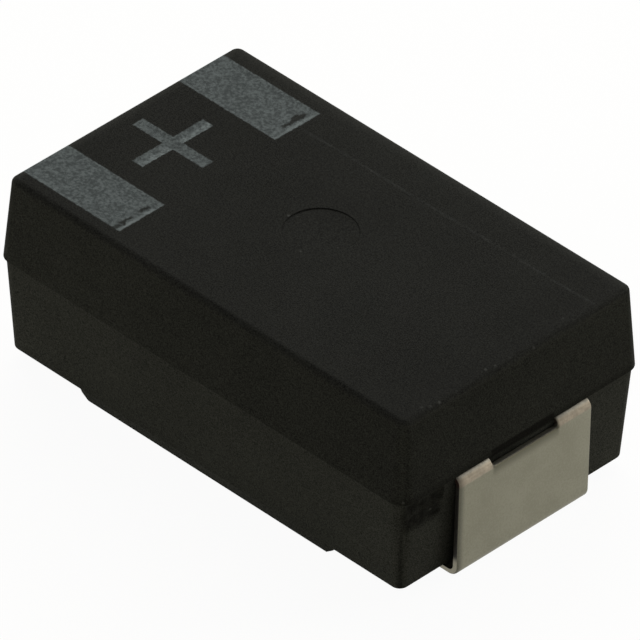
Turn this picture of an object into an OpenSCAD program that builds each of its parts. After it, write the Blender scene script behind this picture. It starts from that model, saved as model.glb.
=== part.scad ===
// Moulded aluminium polymer chip capacitor for surface mounting, in millimetres.
// The board is the plane z = 0. +X runs from the anode (+) end to the cathode end.

/* [Case] */
// Length of the upper mould half at the parting line
case_length = 7.17; // [6.6:0.01:7.8]
// Width of the upper mould half at the parting line
case_width = 4.25; // [4.0:0.01:4.8]
// Height of the upper mould half above the parting line
upper_height = 1.23; // [1.1:0.005:1.6]
// Height of the lower mould half, from the face of its pad to the parting line
lower_height = 1.56; // [1.45:0.01:1.9]
// Draft of the upper half's sides, in degrees
upper_draft = 5; // [1:0.1:7]
// Draft of the lower half's sides, in degrees
lower_draft = 4.5; // [1:0.1:7]
// How far the upper half overhangs the lower one at the parting line
parting_step = 0.02; // [0.005:0.001:0.05]
// Radius along the edges of the top
top_edge_radius = 0.085; // [0.05:0.005:0.3]
// Radius of the corners of the top's flat
top_corner_radius = 0.035; // [0.01:0.005:0.3]
// Radius along the long edges of the pad underneath
pad_edge_radius = 0.05; // [0.02:0.01:0.1]
// Radius of the lower half's corners at the level of the pad
lower_corner_radius = 0.075; // [0.05:0.005:0.3]
// Length of the slope at each end of the pad
pad_slope = 0.155; // [0.05:0.005:0.3]
// Gap along the board between the anode foot and the pad
anode_pad_gap = 0.315; // [0.16:0.005:0.6]
// Gap along the board between the cathode foot and the pad
cathode_pad_gap = 0.205; // [0.16:0.005:0.6]

/* [Mould marks] */
// Diameter of the ejector pin's mark in the top
pin_mark_diameter = 1; // [0.5:0.01:1.4]
// Depth of the ejector pin's mark
pin_mark_depth = 0.02; // [0.01:0.005:0.05]
// Offset of the ejector pin's mark from the middle, towards the cathode
pin_mark_offset = 0.02; // [-0.3:0.01:0.3]
// Width of the gate's break on the cathode end
gate_width = 0.66; // [0.3:0.01:0.7]
// Height of the gate's break below the parting line
gate_height = 0.5; // [0.2:0.01:0.8]
// Depth of the gate's break at the parting line
gate_depth = 0.05; // [0.03:0.005:0.1]
// Radius of the lower corners of the gate's break
gate_corner_radius = 0.2; // [0.05:0.01:0.3]
// Distance of the gate's break from the middle of the end
gate_offset = 1.69; // [1.55:0.01:1.75]

/* [Polarity marks] */
// Depth of the laser marks
mark_depth = 0.015; // [0.01:0.005:0.03]
// Reach of the two bars from the anode end
bar_length = 1.865; // [1:0.005:2.5]
// Width of each bar
bar_width = 0.765; // [0.4:0.005:1]
// Distance between the middles of the bars
bar_spacing = 2.735; // [2.2:0.005:2.8]
// Offset of the marks from the middle of the top
marks_offset = -0.05; // [-0.15:0.01:0.15]
// Length of each arm of the plus sign
plus_length = 1.22; // [0.6:0.01:1.3]
// Stroke of the plus sign
plus_stroke = 0.165; // [0.08:0.005:0.3]
// Distance of the plus sign's middle from the anode end
plus_inset = 1.05; // [0.95:0.005:1.5]

/* [Terminals] */
// Thickness of the lead frame
lead_thickness = 0.08; // [0.06:0.005:0.15]
// Width of the terminals
lead_width = 2.33; // [2:0.01:2.6]
// Gap between the case and a terminal's upright at the parting line
lead_gap = 0.005; // [0.002:0.001:0.1]
// Inner radius of the bend beside the case
shoulder_radius = 0.05; // [0.01:0.005:0.08]
// Inner radius of the bend into the foot
foot_bend_radius = 0.08; // [0.02:0.005:0.12]
// Length of a foot, from the outside of the terminal
foot_length = 1.3; // [1:0.01:1.6]
// Height of the pad above the board
standoff = 0.01; // [0.005:0.005:0.08]
// Gap between a foot and the case above it
foot_clearance = 0.06; // [0.01:0.001:0.1]
// Lean of the terminals' uprights towards the case, in degrees
upright_lean = 0.5; // [0:0.1:2.5]
// Width of the notch in the bend beside the case
notch_width = 1.16; // [0.8:0.01:1.4]
// How far the notch reaches down the upright below the strip's thickness
notch_reach = 0.04; // [0:0.005:0.5]
// Radius of the notch's lower corners
notch_corner_radius = 0.06; // [0.02:0.01:0.1]
// How far the notch runs into the case, where it locks the terminal
notch_lock = 0.25; // [0.1:0.01:0.4]

/* [Stacked elements] */
// Elements on each side of the lead frame
elements_per_side = 3; // [1:1:3]
// Thickness of the aluminium anode foil
foil_thickness = 0.12; // [0.08:0.005:0.14]
// Width of the aluminium anode foil
foil_width = 3; // [2.4:0.01:3.3]
// Thickness of the cathode coat on each side of the foil
coat_thickness = 0.08; // [0.05:0.005:0.1]
// Thickness of each layer of silver glue
glue_thickness = 0.03; // [0.02:0.005:0.05]
// Margin of the silver glue inside the cathode paddle
glue_inset = 0.1; // [0.05:0.01:0.3]
// Resin between the case's anode end and the tails of the foils
anode_cover = 0.45; // [0.3:0.01:0.6]
// Overlap of the foils' tails on the anode terminal, where they are welded
weld_overlap = 0.5; // [0.3:0.01:0.7]
// Length over which a foil is bent from its element to the weld
foil_bend = 0.6; // [0.5:0.01:0.9]
// Length of the resist band between the foil's tail and the cathode coat
resist_length = 0.5; // [0.2:0.01:0.7]
// Gap between the resist bands and the tip of the cathode paddle
paddle_gap = 0.28; // [0.1:0.01:0.6]
// Resin between the case's cathode end and the cathode coats
cathode_cover = 0.75; // [0.4:0.01:1]

/* [Hidden] */
$fn = 64;
// Flats that an edge rounding or a bend is drawn with
arc_steps = 8;
// Margin by which a cutter passes through a face
cut = 1;

// Levels above the board
parting_z = standoff + lower_height;
top_z = parting_z + upper_height;
lead_floor_z = parting_z - lead_thickness;
recess_z = lead_thickness + foot_clearance;

// Places along the length
upper_end = case_length / 2;
lower_end = upper_end - parting_step;
terminal_face = lower_end + lead_gap + lead_thickness;
foot_end = terminal_face - foot_length;
foil_tail = -lower_end + anode_cover;
anode_tip = foil_tail + weld_overlap;
resist_start = anode_tip + foil_bend;
resist_end = resist_start + resist_length;
paddle_tip = resist_end + paddle_gap;
coat_end = lower_end - cathode_cover;

// Sizes of one element, which is a foil in its resist band and cathode coat
element_thickness = foil_thickness + 2 * coat_thickness;
element_width = foil_width + 2 * coat_thickness;
element_count = 2 * elements_per_side;

CASE_COLOUR = "#242422";
TERMINAL_COLOUR = "#a5a394";
FOIL_COLOUR = "#c9ccd0";
RESIST_COLOUR = "#9a5a32";
COAT_COLOUR = "#55575a";
GLUE_COLOUR = "#8d8f92";

function numbered(name) = [for (i = [1 : element_count]) str(name, "_", i)];

// Points of an arc from one angle to another
function arc(centre, radius, from, to) = [
    for (i = [0 : arc_steps])
        let (angle = from + (to - from) * i / arc_steps)
        centre + radius * [cos(angle), sin(angle)]
];

// Radius of an upright corner at the parting line, which the draft narrows to corner_r at the flat, in
// whole microns
function parting_radius(height, draft, edge_r, corner_r) =
    round(1000 * (corner_r + edge_r / cos(draft) + (height - edge_r) * tan(draft))) / 1000;

// Draws an outline of x and z straight through the part along y
module along_y(width) {
    rotate([90, 0, 0])
        linear_extrude(width, center = true)
            children();
}

// An outline with two round lower corners, hung from its upper edge at y = 0
module hanging_outline(width, height, radius) {
    half = width / 2;
    corner = min(radius, half, height);
    polygon(concat(
        [[half, 0], [-half, 0]],
        arc([corner - half, corner - height], corner, 180, 270),
        arc([half - corner, corner - height], corner, 270, 360)
    ));
}

// One mould half, from the parting line at z = 0 up to its flat, with drafted sides and rounded edges
module mould_half(length, width, height, draft, edge_r, corner_r) {
    base_r = parting_radius(height, draft, edge_r, corner_r);
    span = [length / 2 - base_r, width / 2 - base_r];
    flank = concat(
        [[0, 0], [base_r, 0]],
        arc([corner_r, height - edge_r], edge_r, draft, 90),
        [[0, height]]
    );
    translate([-span.x, -span.y, 0])
        cube([2 * span.x, 2 * span.y, height]);
    for (side = [0 : 3]) {
        out = span[side % 2];
        across = span[(side + 1) % 2];
        rotate(90 * side)
            translate([out, 0, 0]) {
                along_y(2 * across)
                    polygon(flank);
                translate([0, across, 0])
                    rotate_extrude(angle = 90)
                        polygon(flank);
            }
    }
}

// The raised stretch under one end of the case, where the foot lies
module foot_recess(pad_end) {
    along_y(case_width + 2 * cut)
        polygon([
            [pad_end, standoff],
            [pad_end + pad_slope, recess_z],
            [upper_end + cut, recess_z],
            [upper_end + cut, -cut],
            [pad_end, -cut]
        ]);
}

// The two bars and the plus sign that mark the anode
module polarity_marks() {
    translate([-upper_end, marks_offset, top_z - mark_depth])
        linear_extrude(cut) {
            for (side = [-1, 1])
                translate([bar_length / 2 - cut / 2, side * bar_spacing / 2])
                    square([bar_length + cut, bar_width], center = true);
            translate([plus_inset, 0]) {
                square([plus_length, plus_stroke], center = true);
                square([plus_stroke, plus_length], center = true);
            }
        }
}

// The shallow break where the moulding gate was snapped off the cathode end
module gate_break() {
    translate([lower_end - gate_depth, -gate_offset, parting_z])
        rotate([90, 0, 90])
            linear_extrude(cut)
                hanging_outline(gate_width, gate_height, gate_corner_radius);
}

// The case as it leaves the mould, taken as solid
module case_block() {
    difference() {
        union() {
            translate([0, 0, parting_z])
                mould_half(case_length, case_width, upper_height, upper_draft, top_edge_radius, top_corner_radius);
            translate([0, 0, parting_z])
                mirror([0, 0, 1])
                    mould_half(
                        case_length - 2 * parting_step,
                        case_width - 2 * parting_step,
                        lower_height,
                        lower_draft,
                        pad_edge_radius,
                        lower_corner_radius
                    );
        }
        foot_recess(foot_end - cathode_pad_gap);
        mirror([1, 0, 0])
            foot_recess(foot_end - anode_pad_gap);
        polarity_marks();
        translate([pin_mark_offset, 0, top_z - pin_mark_depth])
            cylinder(d = pin_mark_diameter, h = cut);
        gate_break();
    }
}

// One terminal: a lead frame strip that leaves the case, is bent down and ends in a foot under it
module terminal_form(tip) {
    shoulder = shoulder_radius + lead_thickness;
    heel = foot_bend_radius + lead_thickness;
    shoulder_axis = [terminal_face - shoulder, parting_z - shoulder];
    outward = [cos(upright_lean), -sin(upright_lean)];
    upright_top = shoulder_axis + shoulder * outward;
    heel_axis = [
        upright_top.x - (heel + (upright_top.y - heel) * sin(upright_lean)) / cos(upright_lean),
        heel
    ];
    difference() {
        along_y(lead_width)
            polygon(concat(
                [[tip, lead_floor_z], [tip, parting_z]],
                arc(shoulder_axis, shoulder, 90, -upright_lean),
                arc(heel_axis, heel, -upright_lean, -90),
                [[foot_end, 0], [foot_end, lead_thickness]],
                arc(heel_axis, foot_bend_radius, -90, -upright_lean),
                arc(shoulder_axis, shoulder_radius, -upright_lean, 90)
            ));
        translate([lower_end - notch_lock, 0, parting_z + cut])
            rotate([90, 0, 90])
                linear_extrude(notch_lock + cut)
                    hanging_outline(notch_width, cut + lead_thickness + notch_reach, notch_corner_radius);
    }
}

module anode_form() {
    mirror([1, 0, 0])
        terminal_form(-anode_tip);
}

module cathode_form() {
    terminal_form(paddle_tip);
}

// Which element from the lead frame outwards number i is: the first half lies above it, the rest below
function level(i) = (i - 1) % elements_per_side + 1;

// Height of an element's near side above its face of the lead frame
function element_floor(i) = level(i) * glue_thickness + (level(i) - 1) * element_thickness;

// Sets what is drawn outwards from z = 0 on the upper or the lower face of the lead frame
module on_lead_frame(i) {
    if (i <= elements_per_side)
        translate([0, 0, parting_z])
            children();
    else
        translate([0, 0, lead_floor_z])
            mirror([0, 0, 1])
                children();
}

// A plate from one place along the length to another, centred on the width
module plate(from, to, width, thickness) {
    translate([from, -width / 2, 0])
        cube([to - from, width, thickness]);
}

// A foil, with its tail bent on to the tails of those nearer the lead frame
module foil_form(i) {
    tail_z = (level(i) - 1) * foil_thickness;
    body_z = element_floor(i) + coat_thickness;
    under = [
        [foil_tail, tail_z],
        [anode_tip, tail_z],
        [resist_start, body_z],
        [coat_end - coat_thickness, body_z]
    ];
    on_lead_frame(i)
        along_y(foil_width)
            polygon(concat(
                under,
                [for (k = [len(under) - 1 : -1 : 0]) under[k] + [0, foil_thickness]]
            ));
}

// The outside of an element between two places along the length
module element_form(i, from, to) {
    on_lead_frame(i)
        translate([0, 0, element_floor(i)])
            plate(from, to, element_width, element_thickness);
}

module glue_form(i) {
    on_lead_frame(i)
        translate([0, 0, element_floor(i) - glue_thickness])
            plate(
                paddle_tip + glue_inset,
                coat_end - glue_inset,
                lead_width - 2 * glue_inset,
                glue_thickness
            );
}

module moulded_case() {
    color(CASE_COLOUR)
        difference() {
            case_block();
            anode_form();
            cathode_form();
            for (i = [1 : element_count]) {
                foil_form(i);
                element_form(i, resist_start, coat_end);
                glue_form(i);
            }
        }
}

module anode_terminal() {
    color(TERMINAL_COLOUR)
        anode_form();
}

module cathode_terminal() {
    color(TERMINAL_COLOUR)
        cathode_form();
}

module anode_foil(i) {
    color(FOIL_COLOUR)
        foil_form(i);
}

module resist_band(i) {
    color(RESIST_COLOUR)
        difference() {
            element_form(i, resist_start, resist_end);
            foil_form(i);
        }
}

module cathode_coat(i) {
    color(COAT_COLOUR)
        difference() {
            element_form(i, resist_end, coat_end);
            foil_form(i);
        }
}

module silver_glue(i) {
    color(GLUE_COLOUR)
        glue_form(i);
}

moulded_case();
anode_terminal();
cathode_terminal();
for (i = [1 : element_count]) {
    anode_foil(i);
    resist_band(i);
    cathode_coat(i);
    silver_glue(i);
}
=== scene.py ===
import math

import bmesh
import bpy
from mathutils import Matrix, Vector, noise


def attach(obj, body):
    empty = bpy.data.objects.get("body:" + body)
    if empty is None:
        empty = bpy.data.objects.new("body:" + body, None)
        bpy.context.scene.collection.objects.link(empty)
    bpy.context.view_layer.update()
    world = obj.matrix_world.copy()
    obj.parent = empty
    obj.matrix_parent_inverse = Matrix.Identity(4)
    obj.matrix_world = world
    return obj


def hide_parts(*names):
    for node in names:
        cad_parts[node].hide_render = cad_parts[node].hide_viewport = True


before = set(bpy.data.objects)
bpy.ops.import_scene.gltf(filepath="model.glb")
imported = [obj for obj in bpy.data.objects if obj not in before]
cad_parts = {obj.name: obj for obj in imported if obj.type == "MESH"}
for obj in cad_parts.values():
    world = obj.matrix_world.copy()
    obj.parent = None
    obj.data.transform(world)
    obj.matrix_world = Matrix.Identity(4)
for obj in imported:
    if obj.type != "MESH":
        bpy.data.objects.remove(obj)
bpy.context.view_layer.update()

# Sizes of the part in millimetres and degrees. The board is z = 0, and +X points to the cathode end.
MM = 0.001

CASE_LENGTH = 7.17
CASE_WIDTH = 4.25
PARTING_Z = 1.57
TOP_Z = 2.8
RECESS_Z = 0.14
PAD_Z = 0.01
PARTING_STEP = 0.02
UPPER_DRAFT = 5.0
LOWER_DRAFT = 4.5
TOP_EDGE_RADIUS = 0.085
TOP_CORNER_RADIUS = 0.035
LOWER_CORNER_RADIUS = 0.244
LOWER_EDGE_RADIUS = 0.03
PARTING_EDGE_RADIUS = 0.01
PAD_EDGE_RADIUS = 0.05
PAD_SLOPE = 0.155
PAD_CATHODE_END = 2.145
PAD_ANODE_END = -2.035

LOWER_END = CASE_LENGTH / 2 - PARTING_STEP
LOWER_SIDE = CASE_WIDTH / 2 - PARTING_STEP

# The ejector pin's mark: its wall has a thin flat ring round it, which keeps the top's shading even.
PIN_MARK_X = 0.02
PIN_MARK_RADIUS = 0.5
PIN_MARK_DEPTH = 0.012
PIN_MARK_RING = 0.003
PIN_MARK_WALL = 0.010
PIN_MARK_TILT = 0.005
PIN_MARK_SKEW = 0.3
PIN_MARK_WINDOW = 1.4 * PIN_MARK_RADIUS

# The laser marks: two bars and a plus sign, with sloped walls between thin flat rings.
MARK_DEPTH = 0.012
MARK_SLOPE = 0.045
MARK_RING = 0.003
MARKS_Y = -0.05
BAR_END_X = -1.72
BAR_OFFSET = 1.3675
BAR_HALF_WIDTH = 0.3825
PLUS_X = -2.535
PLUS_HALF_LENGTH = 0.61
PLUS_HALF_STROKE = 0.0825

# The gate's break on the cathode end.
GATE_Y = -1.69
GATE_HALF_WIDTH = 0.33
GATE_HEIGHT = 0.5
GATE_LOW_Z = PARTING_Z - GATE_HEIGHT
GATE_DEPTH = 0.05
GATE_CORNER = 0.2
GATE_SLOPE = 0.05
GATE_ROUGHNESS = 0.012
GATE_GRAIN = 9
GATE_SEED = 4.2
GATE_NOISE = (0.9, 2.1, 4)
GATE_COLUMNS = 22
GATE_ROWS = 18

LEAD_THICKNESS = 0.08
LEAD_WIDTH = 2.33
TERMINAL_FACE = 3.65
FOOT_END = 2.35
SHOULDER_RADIUS = 0.13
HEEL_RADIUS = 0.16
UPRIGHT_LEAN = math.radians(0.5)
NOTCH_HALF_WIDTH = 0.58
NOTCH_START_X = 3.315
NOTCH_DROP = 0.12
NOTCH_CORNER_RADIUS = 0.055
STAMPED_EDGE_RADIUS = 0.03
CATHODE_TIP_X = -1.235
ANODE_TIP_X = 2.615

# How finely round forms are drawn.
CORNER_STEPS = 10
ROUND_STEPS = 10
PAD_EDGE_STEPS = 6
FINE_EDGE_STEPS = 4
PARTING_EDGE_STEPS = 3
PIN_MARK_STEPS = 64
NOTCH_CORNER_STEPS = 6
FOLD_STEPS = 14
SHARP_ANGLE = 32.0

# Used when picking faces, edges and points: limits of places, then shares of a face's direction along an axis,
# then angles in radians.
FAR = 9.0
NEAR = 1e-4
LEVEL = 1e-5
MERGED_METRES = 1e-8
NEAR_MIDDLE = 1.0
END_X = 3.0
WALL_LOW_Z, WALL_HIGH_Z = RECESS_Z + 0.05, PARTING_Z - 0.001
FULLY = 0.99
HARDLY = 0.2
SQUARE_EDGE = 1.0
FLAT_EDGE = 0.01
STRAIGHT = math.pi - 1e-3
X_AXIS, Y_AXIS, Z_AXIS = (1, 0, 0), (0, 1, 0), (0, 0, 1)


def tan_degrees(angle):
    return math.tan(math.radians(angle))


# Meshes

def at_height(points, z):
    return all(abs(v.co.z - z) < LEVEL for v in points)


def round_edges(bm, edges, radius, steps):
    bmesh.ops.bevel(
        bm, geom=edges, offset=radius, offset_type="OFFSET", segments=steps, profile=0.5,
        affect="EDGES", material=-1,
    )


def outline(bm, x0, x1, width, z, radius=0.0, steps=CORNER_STEPS):
    """A flat face between two lines across the length, with round corners if a radius is given."""
    place = Matrix.Translation(((x0 + x1) / 2, 0, z)) @ Matrix.Diagonal((x1 - x0, width, 1, 1))
    corners = bmesh.ops.create_grid(bm, x_segments=1, y_segments=1, size=0.5, matrix=place)["verts"]
    if radius:
        bmesh.ops.bevel(
            bm, geom=corners, offset=radius, offset_type="OFFSET", segments=steps, profile=0.5,
            affect="VERTICES", clamp_overlap=False, material=-1,
        )
    return next(f for f in bm.faces if at_height(f.verts, z))


def round_over(radius, start, end, count):
    """Inset and rise of each step round an edge, from one slope to another, in degrees from upright."""
    angles = [math.radians(start + (end - start) * i / count) for i in range(count + 1)]
    return [
        (radius * (math.cos(a) - math.cos(b)), radius * (math.sin(b) - math.sin(a)))
        for a, b in zip(angles, angles[1:])
    ]


def climb(bm, face, steps):
    """Draws a wall out of a flat face, one inset at a time."""
    for inset, rise in steps:
        bmesh.ops.inset_region(
            bm, faces=[face], thickness=inset, depth=rise, use_boundary=True, use_even_offset=True,
        )


def inset(bm, faces, width, depth=0.0):
    bmesh.ops.inset_region(bm, faces=faces, thickness=width, depth=depth, use_even_offset=True)


def slice_faces(bm, faces, axis, value):
    """Cuts some faces along the plane at one value of an axis, and leaves both sides in place."""
    edges = {e for f in faces for e in f.edges}
    verts = {v for f in faces for v in f.verts}
    bmesh.ops.bisect_plane(
        bm, geom=[*faces, *edges, *verts], dist=NEAR,
        plane_co=[value * part for part in axis], plane_no=axis,
    )


def faces_within(bm, low, high):
    """The faces whose middle lies in a box."""
    found = []
    for f in bm.faces:
        middle = f.calc_center_bounds()
        if all(low[i] < middle[i] < high[i] for i in range(3)):
            found.append(f)
    return found


def top_faces(bm, x0, x1, y0, y1, depth=NEAR):
    """The faces of the top in a rectangle, with those of its rounded edge down to a depth."""
    return faces_within(bm, (x0, y0, TOP_Z - depth), (x1, y1, TOP_Z + NEAR))


def mould_halves(bm):
    """The two drafted halves, joined by the narrow ledge at the parting line."""
    draft = math.radians(UPPER_DRAFT)
    wall_rise = TOP_Z - PARTING_Z - TOP_EDGE_RADIUS + TOP_EDGE_RADIUS * math.sin(draft)
    wall_inset = wall_rise * math.tan(draft)
    corner = TOP_CORNER_RADIUS + TOP_EDGE_RADIUS * math.cos(draft) + wall_inset
    upper = outline(bm, -CASE_LENGTH / 2, CASE_LENGTH / 2, CASE_WIDTH, PARTING_Z, corner)
    climb(bm, upper, [(wall_inset, wall_rise)] + round_over(TOP_EDGE_RADIUS, UPPER_DRAFT, 90, ROUND_STEPS))

    lower_bm = bmesh.new()
    lower = outline(lower_bm, -LOWER_END, LOWER_END, 2 * LOWER_SIDE, PARTING_Z, LOWER_CORNER_RADIUS)
    bmesh.ops.reverse_faces(lower_bm, faces=[lower])
    drop = PARTING_Z - RECESS_Z
    climb(lower_bm, lower, [(drop * tan_degrees(LOWER_DRAFT), drop)])
    mesh = bpy.data.meshes.new("lower_half")
    lower_bm.to_mesh(mesh)
    lower_bm.free()
    bm.from_mesh(mesh)
    bpy.data.meshes.remove(mesh)
    bmesh.ops.bridge_loops(bm, edges=[e for e in bm.edges if e.is_boundary])


def pad_underneath(bm):
    """The pad between the feet, flush with the long sides and sloped at its ends."""
    def recess(reach):
        return faces_within(bm, (-reach, -reach, RECESS_Z - NEAR), (reach, reach, RECESS_Z + NEAR))

    for x in (PAD_ANODE_END - PAD_SLOPE, PAD_CATHODE_END + PAD_SLOPE):
        slice_faces(bm, recess(FAR), X_AXIS, x)
    pad = recess(NEAR_MIDDLE)
    drop = RECESS_Z - PAD_Z
    side_inset = drop * tan_degrees(LOWER_DRAFT)
    inset(bm, pad, side_inset, drop)
    for v in pad[0].verts:
        v.co.x += math.copysign(PAD_SLOPE - side_inset, -v.co.x)
    round_edges(bm, [e for e in bm.edges if at_height(e.verts, PAD_Z)], PAD_EDGE_RADIUS, PAD_EDGE_STEPS)

    # Of the edges at the recess's height, only those to the steep walls are rounded.
    lower_edge = []
    for e in bm.edges:
        looks_down = any(f.normal.z < -FULLY for f in e.link_faces)
        if at_height(e.verts, RECESS_Z) and looks_down and e.calc_face_angle(0) > SQUARE_EDGE:
            lower_edge.append(e)
    round_edges(bm, lower_edge, LOWER_EDGE_RADIUS, FINE_EDGE_STEPS)


def sink_bar(bm, y0, y1):
    """One bar between two lines: sloped walls on three sides, and an open end over the anode end's edge."""
    def bar():
        return top_faces(bm, -FAR, BAR_END_X, y0, y1, MARK_DEPTH)

    for step in (MARK_RING, MARK_RING + MARK_SLOPE, 2 * MARK_RING + MARK_SLOPE):
        slice_faces(bm, bar(), Y_AXIS, y0 + step)
        slice_faces(bm, bar(), Y_AXIS, y1 - step)
        slice_faces(bm, bar(), X_AXIS, BAR_END_X - step)
    for v in {v for f in bar() for v in f.verts}:
        inside = min(v.co.y - y0, y1 - v.co.y, BAR_END_X - v.co.x)
        share = min(max((inside - MARK_RING) / MARK_SLOPE, 0.0), 1.0)
        v.co.z = min(v.co.z, TOP_Z - share * MARK_DEPTH)


def engrave_marks(bm):
    """Sinks the two bars, which run out over the anode end's edge, and the plus sign into the top."""
    slice_faces(bm, top_faces(bm, -FAR, FAR, -FAR, FAR), X_AXIS, BAR_END_X)
    bar_edges = [
        MARKS_Y + side * BAR_OFFSET + edge * BAR_HALF_WIDTH for side in (-1, 1) for edge in (-1, 1)
    ]
    for y in bar_edges:
        slice_faces(bm, top_faces(bm, -FAR, BAR_END_X, -FAR, FAR, MARK_DEPTH), Y_AXIS, y)
    for reach in (-PLUS_HALF_LENGTH, -PLUS_HALF_STROKE, PLUS_HALF_STROKE, PLUS_HALF_LENGTH):
        for axis, middle in ((X_AXIS, PLUS_X), (Y_AXIS, MARKS_Y)):
            between = top_faces(bm, -FAR, BAR_END_X, bar_edges[1], bar_edges[2])
            slice_faces(bm, between, axis, middle + reach)
    arms = set()
    for half_x, half_y in ((PLUS_HALF_LENGTH, PLUS_HALF_STROKE), (PLUS_HALF_STROKE, PLUS_HALF_LENGTH)):
        arms.update(top_faces(bm, PLUS_X - half_x, PLUS_X + half_x, MARKS_Y - half_y, MARKS_Y + half_y))
    for width, depth in ((MARK_RING, 0.0), (MARK_SLOPE, -MARK_DEPTH), (MARK_RING, 0.0)):
        inset(bm, list(arms), width, depth)
    sink_bar(bm, bar_edges[0], bar_edges[1])
    sink_bar(bm, bar_edges[2], bar_edges[3])


def press_pin_mark(bm):
    """The ejector pin's shallow round dent, a little deeper at the anode side."""
    half = PIN_MARK_WINDOW
    x0, x1 = PIN_MARK_X - half, PIN_MARK_X + half
    for x in (x0, x1):
        slice_faces(bm, top_faces(bm, BAR_END_X, FAR, -FAR, FAR), X_AXIS, x)
    for y in (-half, half):
        slice_faces(bm, top_faces(bm, x0, x1, -FAR, FAR), Y_AXIS, y)
    window = top_faces(bm, x0, x1, -half, half)[0]
    sides = list(window.edges)
    bmesh.ops.delete(bm, geom=[window], context="FACES_ONLY")
    bmesh.ops.subdivide_edges(bm, edges=sides, cuts=PIN_MARK_STEPS // 4 - 1)
    opening = [e for e in bm.edges if e.is_boundary and at_height(e.verts, TOP_Z)]
    turn = Matrix.Translation((PIN_MARK_X, 0, TOP_Z)) @ Matrix.Rotation(math.radians(45), 4, "Z")
    made = bmesh.ops.create_circle(
        bm, cap_ends=True, segments=PIN_MARK_STEPS, radius=PIN_MARK_RADIUS, matrix=turn,
    )
    disc = made["verts"][0].link_faces[0]
    bmesh.ops.bridge_loops(bm, edges=opening + list(disc.edges))
    bmesh.ops.recalc_face_normals(bm, faces=bm.faces)
    inset(bm, [disc], PIN_MARK_RING)
    inset(bm, [disc], PIN_MARK_WALL, -PIN_MARK_DEPTH)
    for v in disc.verts:
        v.co.z += PIN_MARK_TILT * (v.co.x - PIN_MARK_X - PIN_MARK_SKEW * v.co.y) / PIN_MARK_RADIUS


def gate_share(y, z):
    """How deep a place lies in the gate's break, from none at its rounded outline to all of its depth."""
    side = GATE_HALF_WIDTH - abs(y - GATE_Y)
    bottom = z - GATE_LOW_Z
    inside = min(side, bottom)
    if side < GATE_CORNER and bottom < GATE_CORNER:
        inside = GATE_CORNER - math.hypot(GATE_CORNER - side, GATE_CORNER - bottom)
    share = min(max(inside / GATE_SLOPE, 0.0), 1.0)
    return share * share * (3 - 2 * share)


def break_gate(bm):
    """The rough break on the cathode end, where the moulding gate was snapped off."""
    y0, y1 = GATE_Y - GATE_HALF_WIDTH, GATE_Y + GATE_HALF_WIDTH

    def lower_end(to_y):
        return faces_within(bm, (END_X, -FAR, WALL_LOW_Z), (FAR, to_y, WALL_HIGH_Z))

    def looks_out(face):
        return face.normal.x > HARDLY

    def end_wall():
        return [f for f in lower_end(y1) if looks_out(f)]

    def gate_wall():
        return [f for f in end_wall() if f.calc_center_bounds().z > GATE_LOW_Z]

    slice_faces(bm, lower_end(FAR), Y_AXIS, y1)
    slice_faces(bm, end_wall(), Z_AXIS, GATE_LOW_Z)
    for i in range(GATE_COLUMNS):
        slice_faces(bm, gate_wall(), Y_AXIS, y0 + (y1 - y0) * i / GATE_COLUMNS)
    for i in range(1, GATE_ROWS):
        slice_faces(bm, gate_wall(), Z_AXIS, GATE_LOW_Z + GATE_HEIGHT * i / GATE_ROWS)
    for v in bm.verts:
        x, y, z = v.co
        if x < END_X or not GATE_LOW_Z < z < PARTING_Z + LEVEL or not y0 < y < y1:
            continue
        if not any(looks_out(f) for f in v.link_faces):
            continue
        if any(w.co.z > PARTING_Z + NEAR for e in v.link_edges for w in e.verts):
            continue
        rough = noise.fractal(Vector((y * GATE_GRAIN, z * GATE_GRAIN, GATE_SEED)), *GATE_NOISE)
        target = LOWER_END - GATE_DEPTH + GATE_ROUGHNESS * rough
        if x > target:
            v.co.x += gate_share(y, z) * (target - x)


def parting_edge(bm):
    """A fine round on the upper half's lower edge."""
    edge = []
    for e in bm.edges:
        in_upper_half = any(v.co.z > PARTING_Z + NEAR for f in e.link_faces for v in f.verts)
        if at_height(e.verts, PARTING_Z) and in_upper_half:
            edge.append(e)
    round_edges(bm, edge, PARTING_EDGE_RADIUS, PARTING_EDGE_STEPS)


def fan_out(bm):
    """Splits faces with points along straight sides from their middle, so that no triangle is empty."""
    bm.normal_update()
    crowded = []
    for f in bm.faces:
        bends = [corner for corner in f.loops if corner.calc_angle() < STRAIGHT]
        if len(bends) < len(f.loops) and all(corner.is_convex for corner in bends):
            crowded.append(f)
    bmesh.ops.poke(bm, faces=crowded, center_mode="BOUNDS")


def case_mesh():
    bm = bmesh.new()
    mould_halves(bm)
    pad_underneath(bm)
    engrave_marks(bm)
    press_pin_mark(bm)
    break_gate(bm)
    parting_edge(bm)
    fan_out(bm)
    return bm


def fold(bm, start, radius, angle):
    """Bends what lies past start round an axis under the sheet, as a press tool does."""
    middle = radius - LEAD_THICKNESS / 2
    axis_z = PARTING_Z - radius
    for v in bm.verts:
        past = v.co.x - start
        if past <= 0:
            continue
        turn = min(past / middle, angle)
        straight = max(0.0, past - middle * angle)
        reach = v.co.z - axis_z
        v.co.x = start + reach * math.sin(turn) + straight * math.cos(turn)
        v.co.z = axis_z + reach * math.cos(turn) - straight * math.sin(turn)


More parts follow.
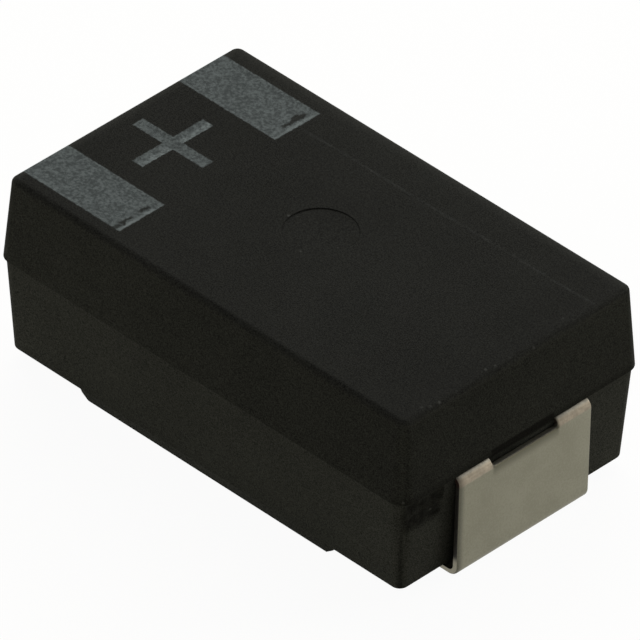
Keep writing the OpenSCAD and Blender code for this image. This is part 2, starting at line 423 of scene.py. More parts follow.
def stamp_blank(tip_x, blank_end, notch_end):
    """The flat blank of a lead with its notch, rounded along its upper edges, with its cut sides marked."""
    bm = bmesh.new()
    outline(bm, tip_x, blank_end, LEAD_WIDTH, PARTING_Z)
    outline(
        bm, NOTCH_START_X, notch_end, 2 * NOTCH_HALF_WIDTH, PARTING_Z,
        NOTCH_CORNER_RADIUS, NOTCH_CORNER_STEPS,
    )
    bmesh.ops.delete(bm, geom=list(bm.faces), context="FACES_ONLY")
    bmesh.ops.triangle_fill(bm, use_beauty=True, edges=list(bm.edges))
    bmesh.ops.dissolve_limit(bm, angle_limit=FLAT_EDGE, verts=list(bm.verts), edges=list(bm.edges))
    bmesh.ops.recalc_face_normals(bm, faces=bm.faces)
    if bm.faces[:][0].normal.z < 0:
        bmesh.ops.reverse_faces(bm, faces=list(bm.faces))
    sheet = bmesh.ops.extrude_face_region(bm, geom=list(bm.faces))["geom"]
    bmesh.ops.translate(
        bm, verts=[g for g in sheet if isinstance(g, bmesh.types.BMVert)], vec=(0, 0, -LEAD_THICKNESS),
    )
    bmesh.ops.recalc_face_normals(bm, faces=bm.faces)
    upper_edge = [
        e for e in bm.edges if e.calc_face_angle(0) > SQUARE_EDGE and at_height(e.verts, PARTING_Z)
    ]
    round_edges(bm, upper_edge, STAMPED_EDGE_RADIUS, FINE_EDGE_STEPS)
    for f in bm.faces:
        f.material_index = 1 if abs(f.normal.z) < HARDLY else 0
    return bm


def lead_mesh(tip_x):
    """One lead, folded twice from its flat blank into upright and foot."""
    shoulder_x = TERMINAL_FACE - SHOULDER_RADIUS
    shoulder_turn = math.pi / 2 + UPRIGHT_LEAN
    heel_turn = math.pi - shoulder_turn
    outward = Vector((math.cos(UPRIGHT_LEAN), -math.sin(UPRIGHT_LEAN)))
    upright_top = Vector((shoulder_x, PARTING_Z - SHOULDER_RADIUS)) + SHOULDER_RADIUS * outward
    upright_run = (upright_top.y - HEEL_RADIUS) * math.sin(UPRIGHT_LEAN)
    heel_x = upright_top.x - (HEEL_RADIUS + upright_run) / outward.x
    upright_end = Vector((heel_x, HEEL_RADIUS)) + HEEL_RADIUS * outward
    shoulder_run = (SHOULDER_RADIUS - LEAD_THICKNESS / 2) * shoulder_turn
    heel_run = (HEEL_RADIUS - LEAD_THICKNESS / 2) * heel_turn
    heel_start = shoulder_x + shoulder_run + (upright_top - upright_end).length
    notch_turn = math.acos((SHOULDER_RADIUS - NOTCH_DROP) / SHOULDER_RADIUS)
    notch_end = shoulder_x + (SHOULDER_RADIUS - LEAD_THICKNESS / 2) * notch_turn

    bm = stamp_blank(tip_x, heel_start + heel_run + heel_x - FOOT_END, notch_end)
    for start, run in ((shoulder_x, shoulder_run), (heel_start, heel_run)):
        for i in range(FOLD_STEPS + 1):
            slice_faces(bm, list(bm.faces), X_AXIS, start + run * i / FOLD_STEPS)
    fold(bm, heel_start, HEEL_RADIUS, heel_turn)
    fold(bm, shoulder_x, SHOULDER_RADIUS, shoulder_turn)
    return bm


def finish_piece(name, bm, node, finishes, mirrored=False):
    """Makes an object of a mesh drawn in millimetres, fixes it to the root and hides its node."""
    bmesh.ops.scale(bm, vec=(-MM if mirrored else MM, MM, MM), verts=bm.verts)
    bmesh.ops.remove_doubles(bm, verts=bm.verts, dist=MERGED_METRES)
    bmesh.ops.recalc_face_normals(bm, faces=bm.faces)
    mesh = bpy.data.meshes.new(name)
    bm.to_mesh(mesh)
    bm.free()
    mesh.shade_smooth()
    mesh.set_sharp_from_angle(angle=math.radians(SHARP_ANGLE))
    for finish in finishes:
        mesh.materials.append(finish)
    piece = bpy.data.objects.new(name, mesh)
    bpy.context.scene.collection.objects.link(piece)
    flat = piece.modifiers.new("flat_faces", "WEIGHTED_NORMAL")
    flat.keep_sharp = True
    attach(piece, "root")
    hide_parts(node)


# Shader building: numbers and colours that vary over the surface are sockets, and each one knows its tree.

def add(tree, kind, inputs=None, **settings):
    """One shader node, with its settings, and its sockets set or linked."""
    made = tree.nodes.new(kind)
    for key, value in settings.items():
        setattr(made, key, value)
    for key, value in (inputs or {}).items():
        if isinstance(value, bpy.types.NodeSocket):
            tree.links.new(value, made.inputs[key])
        else:
            made.inputs[key].default_value = value
    return made


def calc(operation, *values):
    tree = next(v.id_data for v in values if isinstance(v, bpy.types.NodeSocket))
    return add(tree, "ShaderNodeMath", dict(enumerate(values)), operation=operation).outputs[0]


def chain(operation, first, *others):
    for value in others:
        first = calc(operation, first, value)
    return first


def plus(*values):
    return chain("ADD", *values)


def minus(a, b):
    return calc("SUBTRACT", a, b)


def times(*values):
    return chain("MULTIPLY", *values)


def larger(*values):
    return chain("MAXIMUM", *values)


def smaller(*values):
    return chain("MINIMUM", *values)


def absolute(value):
    return calc("ABSOLUTE", value)


def apart(a, b):
    return absolute(minus(a, b))


def tilted(value, slope, level):
    return calc("MULTIPLY_ADD", value, slope, level)


def swing(speckles, reach):
    """Speckles turned into a number that swings about zero."""
    return times(minus(speckles, 0.5), reach)


def ramp(value, low, high, to_low=0.0, to_high=1.0):
    """A smooth step of a value between two of its levels."""
    made = add(
        value.id_data, "ShaderNodeMapRange", {0: value, 1: low, 2: high, 3: to_low, 4: to_high},
        interpolation_type="SMOOTHSTEP",
    )
    return made.outputs[0]


def fade(value, low, high, start=1.0):
    """A smooth step down to nothing."""
    return ramp(value, low, high, start, 0.0)


def mix(share, a, b):
    return add(share.id_data, "ShaderNodeMix", {0: share, 6: a, 7: b}, data_type="RGBA").outputs[2]


def scaled(colour, by):
    """A colour made lighter or darker by a varying number."""
    return add(by.id_data, "ShaderNodeVectorMath", {0: colour, "Scale": by}, operation="SCALE").outputs[0]


def speckle(place, scale, detail=2.0, rough=0.5):
    inputs = {"Vector": place, "Scale": scale, "Detail": detail, "Roughness": rough}
    return add(place.id_data, "ShaderNodeTexNoise", inputs).outputs[0]


def box_distance(a, b, centre, half):
    """Distance outside a rectangle in two of the part's directions, less than nothing inside it."""
    return larger(minus(apart(a, centre[0]), half[0]), minus(apart(b, centre[1]), half[1]))


def relief(height, depth, strength):
    inputs = {"Height": height, "Distance": depth * MM, "Strength": strength}
    return add(height.id_data, "ShaderNodeBump", inputs).outputs[0]


def empty_tree(owner):
    """The cleared shader tree of a material or world."""
    owner.use_nodes = True
    owner.node_tree.nodes.clear()
    return owner.node_tree


def new_finish(name):
    """An empty material and the surface's place on the part, in millimetres."""
    material = bpy.data.materials.new(name)
    tree = empty_tree(material)
    spot = add(tree, "ShaderNodeTexCoord").outputs["Object"]
    to_millimetres = (1 / MM, 1 / MM, 1 / MM)
    place = add(tree, "ShaderNodeMapping", {"Vector": spot, "Scale": to_millimetres}).outputs[0]
    return material, place


def axes(place):
    return add(place.id_data, "ShaderNodeSeparateXYZ", {0: place}).outputs


def close_finish(material, **inputs):
    tree = material.node_tree
    shader = add(tree, "ShaderNodeBsdfPrincipled", {k.replace("_", " "): v for k, v in inputs.items()})
    add(tree, "ShaderNodeOutputMaterial", {"Surface": shader.outputs[0]})


# Black epoxy

# Resin tones, with painted light: the top and side tones are one resin lit differently, and the lower half is
# lighter partly as its own tone and partly as painted light from the floor, most at the foot.
TOP_LIT_RESIN = (0.0152, 0.0155, 0.0137, 1)
SIDE_LIT_RESIN = (0.0192, 0.0197, 0.0165, 1)
FLOOR_LIT_FOOT_RESIN = (0.0348, 0.0357, 0.0301, 1)
PARTING_RESIN = (0.0270, 0.0277, 0.0234, 1)
TORN_DARK, TORN_LIGHT = (0.0065, 0.0066, 0.0054, 1), (0.0140, 0.0142, 0.0117, 1)
TORN_RIDGE = (0.0225, 0.0228, 0.0190, 1)
SHADOW = (0.0055, 0.0053, 0.0043, 1)
FLOW_LINE = (0.030, 0.031, 0.029, 1)
FILLER = (0.070, 0.072, 0.066, 1)
CHAR_DARK, CHAR_LIGHT = (0.0480, 0.0546, 0.0541, 1), (0.1010, 0.1153, 0.1144, 1)
EPOXY_SPECULAR = 0.006

# Strengths of what varies in the resin.
GRAIN_SWING, DUST_SWING, CLOUD_SWING = 0.14, 0.42, 0.05
# Strengths of the painted highlights on the top's rims and the upper half's corners.
FAR_RIM_HIGHLIGHT, CATHODE_RIM_HIGHLIGHT, UPPER_CORNER_HIGHLIGHT = 0.7, 0.28, 0.25
# Share of painted shade in the lower half's rounded corners.
CORNER_SHADE_SHARE = 0.8
SHADOW_SHARE = 0.92
FLOW_LINE_SHARE = 0.42
SCATTERED_SHARE = 0.55
CRACK_SHARE = 0.9

# Where walls and edges begin, as the two levels of a smooth step.
END_WALL_X = (3.36, 3.40)
GATE_WALL_X = (3.2, 3.3)
# The far, anode and cathode rims carry painted highlights.
FAR_RIM_Y = (1.78, 2.03)
ANODE_RIM_X = (-3.46, -3.28)
CATHODE_RIM_X = (3.39, 3.45)
LEAD_OUTSIDE_X = (3.50, 3.53)

# The ridge in the gate's break, in y and height above the parting line: its middle and half its size.
RIDGE_MIDDLE, RIDGE_HALF = (-1.58, -0.07), (0.17, 0.035)

# The strip of painted shade over the lead's notch, in the same directions.
OVER_NOTCH_MIDDLE, OVER_NOTCH_HALF = (0.0, 0.022), (NOTCH_HALF_WIDTH - 0.02, 0.067)

# The faint line along the top, which starts at the far bar.
FLOW_LINE_Y = 1.357
FLOW_LINE_TILT = 0.011
FLOW_LINE_START = (-1.7, -1.55)

# Pale grains of filler that stand out, each with its strength: by the pin mark, along the top's cathode edge,
# and in and by the gate's break.
SPECKS = (
    ((-0.493, -0.053, 2.8), 0.4), ((0.119, -0.452, 2.8), 0.35),
    ((3.400, -0.513, 2.8), 0.5), ((3.453, -1.372, 2.779), 0.45), ((3.389, -1.622, 2.8), 0.25),
    ((3.441, -1.517, 2.788), 0.25), ((3.424, -0.363, 2.795), 0.25), ((3.467, 0.263, 2.764), 0.3),
    ((3.338, 0.907, 2.8), 0.2), ((3.448, -1.070, 2.784), 0.15), ((3.430, -0.122, 2.794), 0.15),
    ((3.52, -1.556, 1.248), 0.5), ((3.525, -2.048, 1.619), 0.35), ((3.53, -1.385, 1.526), 0.3),
)

# The burnt tone lies a little beside the engraved marks and is a little larger.
TONE_Y = MARKS_Y + 0.01
TONE_PLUS = (PLUS_X - 0.026, TONE_Y)
TONE_BAR = (1.0, BAR_HALF_WIDTH + 0.01)
TONE_ARM_X = (PLUS_HALF_LENGTH + 0.012, PLUS_HALF_STROKE + 0.008)
TONE_ARM_Y = (PLUS_HALF_STROKE + 0.006, PLUS_HALF_LENGTH + 0.008)

# Where the skin has cracked along the bars' ends, as middle and half length in y, and the widest spot. The near
# bar also has a chipped corner.
CRACKS = ((-1.575, 0.11), (-1.25, 0.09), (1.40, 0.21))
CRACK_INSET = 0.12
CRACK_WIDEST_Y = 1.45
CHIP_MIDDLE = (BAR_END_X - 0.10, MARKS_Y - BAR_OFFSET - BAR_HALF_WIDTH + 0.05)
CHIP_HALF = (0.036, 0.075)


def corner_share(x, y, above):
    """How near a place is to one of the lower half's rounded corners."""
    narrow = times(absolute(above), tan_degrees(LOWER_DRAFT))
    past_end = plus(minus(absolute(x), LOWER_END), narrow)
    past_side = plus(minus(absolute(y), LOWER_SIDE), narrow)
    return ramp(smaller(past_end, past_side), -0.09, -0.035)


def resin_tone_and_painted_light(z, sides, lower):
    """The resin's tone, with painted light: darker on the top than on the upper walls, and on the lower half
    lighter partly as its own tone and partly as painted floor light, most towards the foot.
    """
    upper_resin = mix(sides, TOP_LIT_RESIN, SIDE_LIT_RESIN)
    low_resin = mix(ramp(z, 0.05, PARTING_Z - 0.05), FLOOR_LIT_FOOT_RESIN, PARTING_RESIN)
    return mix(lower, upper_resin, low_resin)


def with_torn_gate_and_corner_shade(resin, place, corner, lower):
    """Darkens the gate's break, where the resin is torn, and the lower half's rounded corners with painted
    shade in the same dark tone.
    """
    x, y, z = axes(place)
    wave = swing(speckle(place, 7.0, 3.0, 0.6), 0.16)
    gate = box_distance(y, z, (GATE_Y, PARTING_Z - GATE_HEIGHT / 2), (GATE_HALF_WIDTH, GATE_HEIGHT / 2))
    gate = times(fade(plus(gate, wave), -0.10, 0.05), ramp(x, *GATE_WALL_X))
    torn = mix(ramp(speckle(place, 11.0, 3.0, 0.65), 0.36, 0.64), TORN_DARK, TORN_LIGHT)
    ridge = box_distance(y, minus(z, PARTING_Z), RIDGE_MIDDLE, RIDGE_HALF)
    ridge = fade(plus(ridge, times(wave, 0.4)), -0.03, 0.03, 0.65)
    torn = mix(ridge, torn, TORN_RIDGE)
    # The corners get painted shade; the gate's break gets its torn tone.
    return mix(times(larger(times(corner, CORNER_SHADE_SHARE), gate), lower), resin, torn)


def lead_shadow(x, y, above, lower):
    """How much painted shade lies on the ends: the lead's shadow beside it, in its notch and over it, and a
    thin dark line along the upper half's lower edge.
    """
    side = absolute(y)
    beside = ramp(side, LEAD_WIDTH / 2, LEAD_WIDTH / 2 + 0.30, 0.55, 0.10)
    beside = times(beside, fade(y, -0.2, 0.2))
    in_notch = times(fade(side, 1.0, 1.1), ramp(above, -0.085, -0.04, 0.0, 0.8))
    over_notch = fade(box_distance(y, above, OVER_NOTCH_MIDDLE, OVER_NOTCH_HALF), -0.02, 0.02)
    # Painted shade in a thin line along the upper half's lower edge.
    lip = times(ramp(above, -0.01, 0.0), fade(above, 0.03, 0.12, 0.45))
    shade = larger(times(larger(in_notch, beside), lower), over_notch, lip)
    return times(shade, ramp(absolute(x), *END_WALL_X), SHADOW_SHARE)


def flow_line(place, on_top):
    """The faint, patchy line along the top."""
    x, y, _ = axes(place)
    wander = minus(swing(speckle(place, 1.3, 2.0, 0.5), 0.04), times(x, FLOW_LINE_TILT))
    line = absolute(plus(minus(y, FLOW_LINE_Y), wander))
    patchy = ramp(speckle(place, 6.0, 2.0, 0.6), 0.35, 0.6, 0.3, 1.0)
    return times(fade(line, 0.004, 0.034), ramp(x, *FLOW_LINE_START), patchy, on_top, FLOW_LINE_SHARE)


def flecks(place):
    """Pale grains of filler: a few scattered ones, and those that stand out."""
    tree = place.id_data
    cell = add(tree, "ShaderNodeTexVoronoi", {"Vector": place, "Scale": 2.4}).outputs
    chosen = add(tree, "ShaderNodeSeparateColor", {0: cell["Color"]}).outputs[0]
    found = times(fade(cell["Distance"], 0.012, 0.035), ramp(chosen, 0.80, 0.85), SCATTERED_SHARE)
    for spot, share in SPECKS:
        gap = add(tree, "ShaderNodeVectorMath", {0: place, 1: spot}, operation="DISTANCE").outputs["Value"]
        found = larger(found, fade(gap, 0.004, 0.032, share))
    return found


def resin_grain_and_painted_light(place, grain, sides, lower, on_top, corner):
    """Grain, dust and cloud in the resin's tone, with painted light: slow drifts of brightness, and painted
    highlights on the top's edges and the upper corners.
    """
    x, y, z = axes(place)
    cloud = speckle(place, 0.9, 3.0, 0.55)
    dust = speckle(place, 64.0, 1.0, 0.5)
    shade = plus(
        ramp(grain, 0.36, 0.64, 1 - GRAIN_SWING, 1 + GRAIN_SWING),
        ramp(cloud, 0.35, 0.65, -CLOUD_SWING, CLOUD_SWING),
        ramp(dust, 0.3, 0.7, -DUST_SWING, DUST_SWING),
    )
    # Painted light: slow drifts of brightness over the top and the upper walls.
    painted_light_top = plus(ramp(y, 0.5, 1.8, 0.0, 0.10), ramp(x, 1.2, 3.2, 0.0, -0.05))
    painted_light_sides = smaller(tilted(minus(y, x), 0.035, 0.0755), 0.09)
    painted_light = plus(times(painted_light_top, on_top), times(painted_light_sides, minus(sides, lower)))

    # Painted highlights on the top's far, anode and cathode edges and on the upper corners.
    far_rim_highlight = larger(ramp(y, *FAR_RIM_Y), fade(x, *ANODE_RIM_X))
    far_rim_highlight = times(far_rim_highlight, FAR_RIM_HIGHLIGHT, ramp(z, TOP_Z - 0.12, TOP_Z - 0.06))
    cathode_rim_highlight = times(ramp(x, *CATHODE_RIM_X), ramp(z, TOP_Z - 0.13, TOP_Z - 0.07), CATHODE_RIM_HIGHLIGHT)
    upper_corner_highlight = times(corner, minus(1.0, lower), UPPER_CORNER_HIGHLIGHT)
    return plus(shade, painted_light, larger(far_rim_highlight, cathode_rim_highlight, upper_corner_highlight))


def laser_marks(place):
    """Where the laser burnt the top, the grey it left there and the craters in it."""
    x, y, z = axes(place)
    wave = swing(speckle(place, 16.0, 3.0, 0.7), 0.05)
    bar_y = apart(y, TONE_Y)
    bars = box_distance(x, bar_y, (BAR_END_X - 1.0, BAR_OFFSET), TONE_BAR)
    arm_x = box_distance(x, y, TONE_PLUS, TONE_ARM_X)
    arm_y = box_distance(x, y, TONE_PLUS, TONE_ARM_Y)
    marked = fade(plus(smaller(bars, arm_x, arm_y), wave), -0.012, 0.012)
    marked = times(marked, ramp(z, TOP_Z - 0.06, TOP_Z - 0.012))

    # The skin has flaked off along the cracks and at the chipped corner.
    from_end = minus(BAR_END_X, x)
    jag = swing(speckle(place, 6.0, 3.0, 0.6), 0.18)
    crack = absolute(plus(minus(from_end, CRACK_INSET), jag))
    crack = minus(crack, fade(apart(y, CRACK_WIDEST_Y), 0.02, 0.14, 0.03))
    stretches = larger(*[fade(apart(y, middle), half - 0.04, half + 0.04) for middle, half in CRACKS])
    crack = times(fade(crack, 0.010, 0.038), ramp(from_end, 0.03, 0.05), stretches)
    chip = box_distance(x, y, CHIP_MIDDLE, CHIP_HALF)
    crack = larger(crack, fade(plus(chip, wave), -0.02, 0.02, 0.85))
    marked = times(marked, minus(1.0, times(crack, CRACK_SHARE)))

    # Burnt lighter along the bars' outlines and last line, and along one side of the plus sign's cross arm.
    crater = speckle(place, 26.0, 2.0, 0.55)
    patch = speckle(place, 13.0, 2.0, 0.5)
    fringe = ramp(bars, -0.07, -0.03, 0.0, 0.03)
    last_line = fade(from_end, 0.03, 0.085, 0.26)
    last_line = times(last_line, ramp(speckle(place, 5.0, 1.0, 0.5), 0.38, 0.6, 0.45, 1.2))
    burn = plus(crater, swing(patch, 0.34), fringe, last_line)
    char = mix(ramp(burn, 0.28, 0.77), CHAR_DARK, CHAR_LIGHT)
    twice = times(ramp(x, PLUS_X - 0.045, PLUS_X + 0.005, 0.0, 0.5), fade(arm_y, -0.005, 0.005))
    twice = times(twice, ramp(bar_y, 0.08, 0.12, -0.3, 1.0))
    proud = times(fade(from_end, 0.04, 0.08, 0.3), stretches, ramp(patch, 0.38, 0.6, 0.3, 1.0))
    char = scaled(char, plus(twice, proud, ramp(bar_y, 0.68, 0.72, 0.94, 1.0)))
    return marked, char, crater


def epoxy_finish():
    """Matte black filled epoxy, lighter on the lower half partly as its own tone and partly as painted light,
    with painted shade and highlights, and the grey laser marks on the top.
    """
    material, place = new_finish("black_epoxy")
    x, y, z = axes(place)
    above = minus(z, PARTING_Z)
    lower = fade(z, PARTING_Z - 0.012, PARTING_Z - 0.004)
    sides = fade(z, TOP_Z - 0.12, TOP_Z - 0.03)
    on_top = ramp(z, TOP_Z - 0.05, TOP_Z - 0.02)
    corner = corner_share(x, y, above)
    grain = speckle(place, 30.0, 2.0, 0.6)

    resin = resin_tone_and_painted_light(z, sides, lower)
    resin = with_torn_gate_and_corner_shade(resin, place, corner, lower)
    resin = mix(lead_shadow(x, y, above, lower), resin, SHADOW)
    resin = mix(flow_line(place, on_top), resin, FLOW_LINE)
    resin = mix(flecks(place), resin, FILLER)
    resin = scaled(resin, resin_grain_and_painted_light(place, grain, sides, lower, on_top, corner))
    marked, char, crater = laser_marks(place)
    close_finish(
        material, Base_Color=mix(marked, resin, char), Specular_IOR_Level=EPOXY_SPECULAR,
        Roughness=ramp(grain, 0.3, 0.7, 0.55, 0.7),
        Normal=relief(plus(grain, times(marked, crater)), 0.004, 0.4),
    )
    return material


# Metals, and what lies inside the case

TIN_DARK, TIN_LIGHT = (0.180, 0.172, 0.122, 1), (0.228, 0.219, 0.161, 1)
COPPER_DARK, COPPER_LIGHT = (0.232, 0.198, 0.145, 1), (0.265, 0.228, 0.172, 1)
# The crest tone is a painted reflection of the sky on the top of the bend.
BEND_CREST_REFLECTION = (0.143, 0.133, 0.1075, 1)
NOTCH_SHADE_TONE = (0.104, 0.098, 0.066, 1)
ROLLED_EDGE_SHADE = (0.045, 0.042, 0.029, 1)
EDGE_DARK, EDGE_LIGHT = (0.018, 0.0166, 0.0133, 1), (0.036, 0.0332, 0.0266, 1)
NOTCH_DARK, NOTCH_LIGHT = (0.027, 0.0250, 0.0172, 1), (0.040, 0.0370, 0.0255, 1)
HEEL_REFLECTION_DARK, HEEL_REFLECTION_LIGHT = (0.202, 0.189, 0.142, 1), (0.277, 0.259, 0.197, 1)
RUST = (0.034, 0.019, 0.013, 1)
METALLIC = 0.9

# Finish, grain, dark and light tone, how metallic it is, and the range of its roughness.
INNER_LOOKS = {
    "anode_foil": ("etched_foil", 60.0, (0.42, 0.44, 0.46, 1), (0.62, 0.64, 0.67, 1), 0.95, 0.45, 0.65),
    "resist_band": ("amber_resist", 25.0, (0.24, 0.07, 0.02, 1), (0.40, 0.14, 0.04, 1), 0.0, 0.3, 0.45),
    "cathode_coat": ("silver_paint", 45.0, (0.06, 0.063, 0.066, 1), (0.15, 0.155, 0.16, 1), 0.4, 0.5, 0.7),
    "silver_glue": ("silver_glue", 50.0, (0.2, 0.2, 0.205, 1), (0.36, 0.36, 0.37, 1), 0.6, 0.4, 0.6),
}


def blended(grain, cloud):
    return plus(times(grain, 0.7), times(cloud, 0.3))


def tin_finish():
    """Matte tin plating, warm grey, worn coppery over the bends, with painted light: a reflection along the
    bends' crest, shade across the bends and under the notch, and a darker front edge.
    """
    material, place = new_finish("matte_tin")
    x, y, z = axes(place)
    grain = speckle(place, 34.0, 3.0, 0.6)
    cloud = speckle(place, 2.2, 3.0, 0.5)
    plating = mix(ramp(blended(grain, cloud), 0.38, 0.62), TIN_DARK, TIN_LIGHT)
    outside = ramp(absolute(x), *LEAD_OUTSIDE_X)

    bend_z = minus(plus(z, swing(cloud, 0.05)), times(larger(y, 0.0), 0.025))
    worn = times(ramp(bend_z, PARTING_Z - 0.155, PARTING_Z - 0.125), outside)
    copper = mix(ramp(grain, 0.4, 0.6), COPPER_DARK, COPPER_LIGHT)
    bend = mix(ramp(z, PARTING_Z - 0.05, PARTING_Z - 0.02), copper, BEND_CREST_REFLECTION)
    # Mottled, and lighter towards the front (-y) as painted light.
    mottle_and_painted_light = ramp(speckle(place, 13.0, 2.0, 0.6), 0.38, 0.62, 0.97, 1.16)
    mottle_and_painted_light = times(mottle_and_painted_light, tilted(y, -0.065, 1.02))
    # Painted shade in a dark band across the bend.
    crease_shade = ramp(apart(z, PARTING_Z - 0.050), 0.0, 0.030, 0.75, 1.0)
    plating = mix(worn, plating, scaled(bend, times(mottle_and_painted_light, crease_shade)))

    under_notch = fade(absolute(y), NOTCH_HALF_WIDTH - 0.03, NOTCH_HALF_WIDTH + 0.03)
    # Painted shade below the notch, where its rolled-over edge turns away from the light, darkest along the
    # rolled edge itself.
    below_notch_shade = times(under_notch, ramp(z, PARTING_Z - 0.31, PARTING_Z - 0.125), outside)
    plating = mix(below_notch_shade, plating, NOTCH_SHADE_TONE)
    rolled_edge_shade = times(under_notch, ramp(z, PARTING_Z - 0.146, PARTING_Z - 0.120), outside)
    plating = mix(rolled_edge_shade, plating, ROLLED_EDGE_SHADE)
    # Painted shade along the face's front (-y) edge, and a slight painted gradient across the face.
    front_edge_shade = minus(swing(cloud, 0.06), y)
    front_edge_shade = ramp(front_edge_shade, LEAD_WIDTH / 2 - 0.11, LEAD_WIDTH / 2, 1.0, 0.5)
    plating = scaled(plating, times(front_edge_shade, tilted(y, 0.02, 0.985)))
    close_finish(
        material, Base_Color=plating, Metallic=METALLIC, Roughness=ramp(grain, 0.3, 0.7, 0.45, 0.58),
        Normal=relief(grain, 0.003, 0.35),
    )
    return material


def cut_finish():
    """Dark bare alloy along the stamped edges, scaled in the notch, and lighter near the heel as a painted
    reflection of the floor.
    """
    material, place = new_finish("stamped_edge")
    _, y, z = axes(place)
    side = absolute(y)
    grain = speckle(place, 50.0, 2.0, 0.6)
    light = ramp(grain, 0.35, 0.65)
    metal = mix(light, EDGE_DARK, EDGE_LIGHT)
    notch_corner = ramp(side, NOTCH_HALF_WIDTH - 0.1, NOTCH_HALF_WIDTH - 0.02)
    metal = mix(times(ramp(z, PARTING_Z - 0.2, PARTING_Z - 0.1), notch_corner), metal, RUST)
    # Painted reflection of the floor on the cut edges near the heel.
    metal = mix(fade(z, 0.22, 0.34), metal, mix(light, HEEL_REFLECTION_DARK, HEEL_REFLECTION_LIGHT))
    in_notch = ramp(z, PARTING_Z - 0.16, PARTING_Z - 0.13)
    in_notch = times(in_notch, fade(side, NOTCH_HALF_WIDTH - 0.02, NOTCH_HALF_WIDTH + 0.02))
    metal = mix(in_notch, metal, mix(light, NOTCH_DARK, NOTCH_LIGHT))
    close_finish(
        material, Base_Color=metal, Metallic=minus(METALLIC, times(in_notch, 0.7)),
        Roughness=ramp(grain, 0.3, 0.7, 0.4, 0.6), Normal=relief(grain, 0.004, 0.4),
    )
    return material


def inner_finish(name, scale, dark, light, metallic, rough_low, rough_high):
    """A grainy coat or foil inside the case."""
    material, place = new_finish(name)
    grain = speckle(place, scale, 3.0, 0.6)
    cloud = speckle(place, scale / 20, 2.0, 0.5)
    close_finish(
        material, Base_Color=mix(ramp(blended(grain, cloud), 0.35, 0.65), dark, light), Metallic=metallic,
        Roughness=ramp(grain, 0.3, 0.7, rough_low, rough_high), Normal=relief(grain, 0.003, 0.5),
    )
    return material


# The part

epoxy = epoxy_finish()
lead_finishes = [tin_finish(), cut_finish()]
inner = {kind: inner_finish(*look) for kind, look in INNER_LOOKS.items()}

finish_piece("case_moulding", case_mesh(), "moulded_case", [epoxy])
finish_piece("cathode_lead", lead_mesh(CATHODE_TIP_X), "cathode_terminal", lead_finishes)
finish_piece("anode_lead", lead_mesh(ANODE_TIP_X), "anode_terminal", lead_finishes, mirrored=True)
for name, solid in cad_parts.items():
    kind = name.rsplit("_", 1)[0]
    if kind in inner:
        solid.data.materials.clear()
        solid.data.materials.append(inner[kind])


# Studio, in metres

FLOOR_HALF = 0.5
PAPER = (0.88, 0.86, 0.76, 1)
WHITE = (1, 1, 1, 1)
GLOW_SHARE = 0.95
ROOM_COLOUR = (1.0, 0.985, 0.95, 1)
ROOM_LIGHT = 0.21
AIM = Vector((0, 0, PARTING_Z * MM))

# Name, place, size, radiance and colour.
SOFTBOXES = (
    ("left_softbox", (-0.09, 0.08, 0.12), 0.14, 3.9, (1.0, 0.99, 0.97)),
    ("right_softbox", (0.035, 0.13, 0.06), 0.12, 3.6, (1.0, 0.99, 0.97)),
    ("front_card", (-0.05, -0.07, 0.02), 0.05, 2.2, (1.0, 0.98, 0.94)),
)

# The camera as the photograph was solved: angles in degrees, then lens and centre in the picture's dots.
AZIMUTH, ELEVATION, ROLL = 44.2719, 37.5634, 1.183
DISTANCE = 0.19102
PICTURE = 640.0
FOCAL = 15295.2
CENTRE_X, CENTRE_Y = 317.8775, 309.4214


def seen_directly(tree):
    """One for rays that show a surface to the camera, in a mirror or through something clear."""
    path = add(tree, "ShaderNodeLightPath").outputs
    return larger(path["Is Camera Ray"], path["Is Glossy Ray"], path["Is Transmission Ray"])


def studio_floor():
    """White paper that takes the part's shadow, and shows nearly white to the camera."""
    bm = bmesh.new()
    bmesh.ops.create_grid(bm, x_segments=8, y_segments=8, size=FLOOR_HALF)
    mesh = bpy.data.meshes.new("studio_floor")
    bm.to_mesh(mesh)
    bm.free()
    floor = bpy.data.objects.new("studio_floor", mesh)
    bpy.context.scene.collection.objects.link(floor)
    material = bpy.data.materials.new("white_paper")
    tree = empty_tree(material)
    paper = add(tree, "ShaderNodeBsdfDiffuse", {"Color": PAPER}).outputs[0]
    glow = add(tree, "ShaderNodeEmission", {"Color": WHITE, "Strength": 1.0}).outputs[0]
    share = times(seen_directly(tree), GLOW_SHARE)
    both = add(tree, "ShaderNodeMixShader", {0: share, 1: paper, 2: glow}).outputs[0]
    add(tree, "ShaderNodeOutputMaterial", {"Surface": both})
    mesh.materials.append(material)


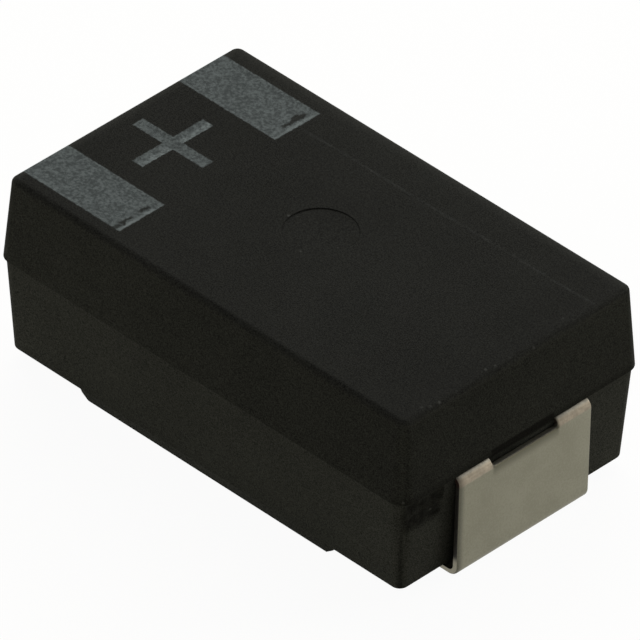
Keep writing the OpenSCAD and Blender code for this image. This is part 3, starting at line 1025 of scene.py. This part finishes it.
def studio_world():
    """Dim light from all round, and a white background for the camera."""
    world = bpy.data.worlds.new("studio")
    bpy.context.scene.world = world
    tree = empty_tree(world)
    room = add(tree, "ShaderNodeBackground", {"Color": ROOM_COLOUR, "Strength": ROOM_LIGHT}).outputs[0]
    white = add(tree, "ShaderNodeBackground", {"Color": WHITE, "Strength": 1.0}).outputs[0]
    both = add(tree, "ShaderNodeMixShader", {0: seen_directly(tree), 1: room, 2: white}).outputs[0]
    add(tree, "ShaderNodeOutputWorld", {"Surface": both})


def softbox(name, place, size, radiance, colour):
    """A square area lamp aimed at the part."""
    lamp = bpy.data.lights.new(name, "AREA")
    lamp.size = size
    lamp.energy = radiance * math.pi * size * size
    lamp.color = colour
    box = bpy.data.objects.new(name, lamp)
    bpy.context.scene.collection.objects.link(box)
    box.location = place
    box.rotation_mode = "QUATERNION"
    box.rotation_quaternion = (AIM - Vector(place)).to_track_quat("-Z", "Y")


def studio_camera():
    azimuth, elevation, roll = math.radians(AZIMUTH), math.radians(ELEVATION), math.radians(ROLL)
    data = bpy.data.cameras.new("studio_camera")
    data.sensor_width = 36.0
    data.lens = FOCAL / PICTURE * data.sensor_width
    data.shift_x = (PICTURE / 2 - CENTRE_X) / PICTURE
    data.shift_y = (CENTRE_Y - PICTURE / 2) / PICTURE
    data.clip_start, data.clip_end = 0.01, 5.0
    camera = bpy.data.objects.new("studio_camera", data)
    bpy.context.scene.collection.objects.link(camera)
    flat = math.cos(elevation)
    back = Vector((math.sin(azimuth) * flat, -math.cos(azimuth) * flat, math.sin(elevation)))
    right = Vector((math.cos(azimuth), math.sin(azimuth), 0))
    up = back.cross(right)
    side = right * math.cos(roll) + up * math.sin(roll)
    above = up * math.cos(roll) - right * math.sin(roll)
    turn = Matrix((side, above, back)).transposed().to_4x4()
    camera.matrix_world = Matrix.Translation(AIM + back * DISTANCE) @ turn
    bpy.context.scene.camera = camera


studio_floor()
studio_world()
for box in SOFTBOXES:
    softbox(*box)
studio_camera()
bpy.context.scene.view_settings.view_transform = "Standard"
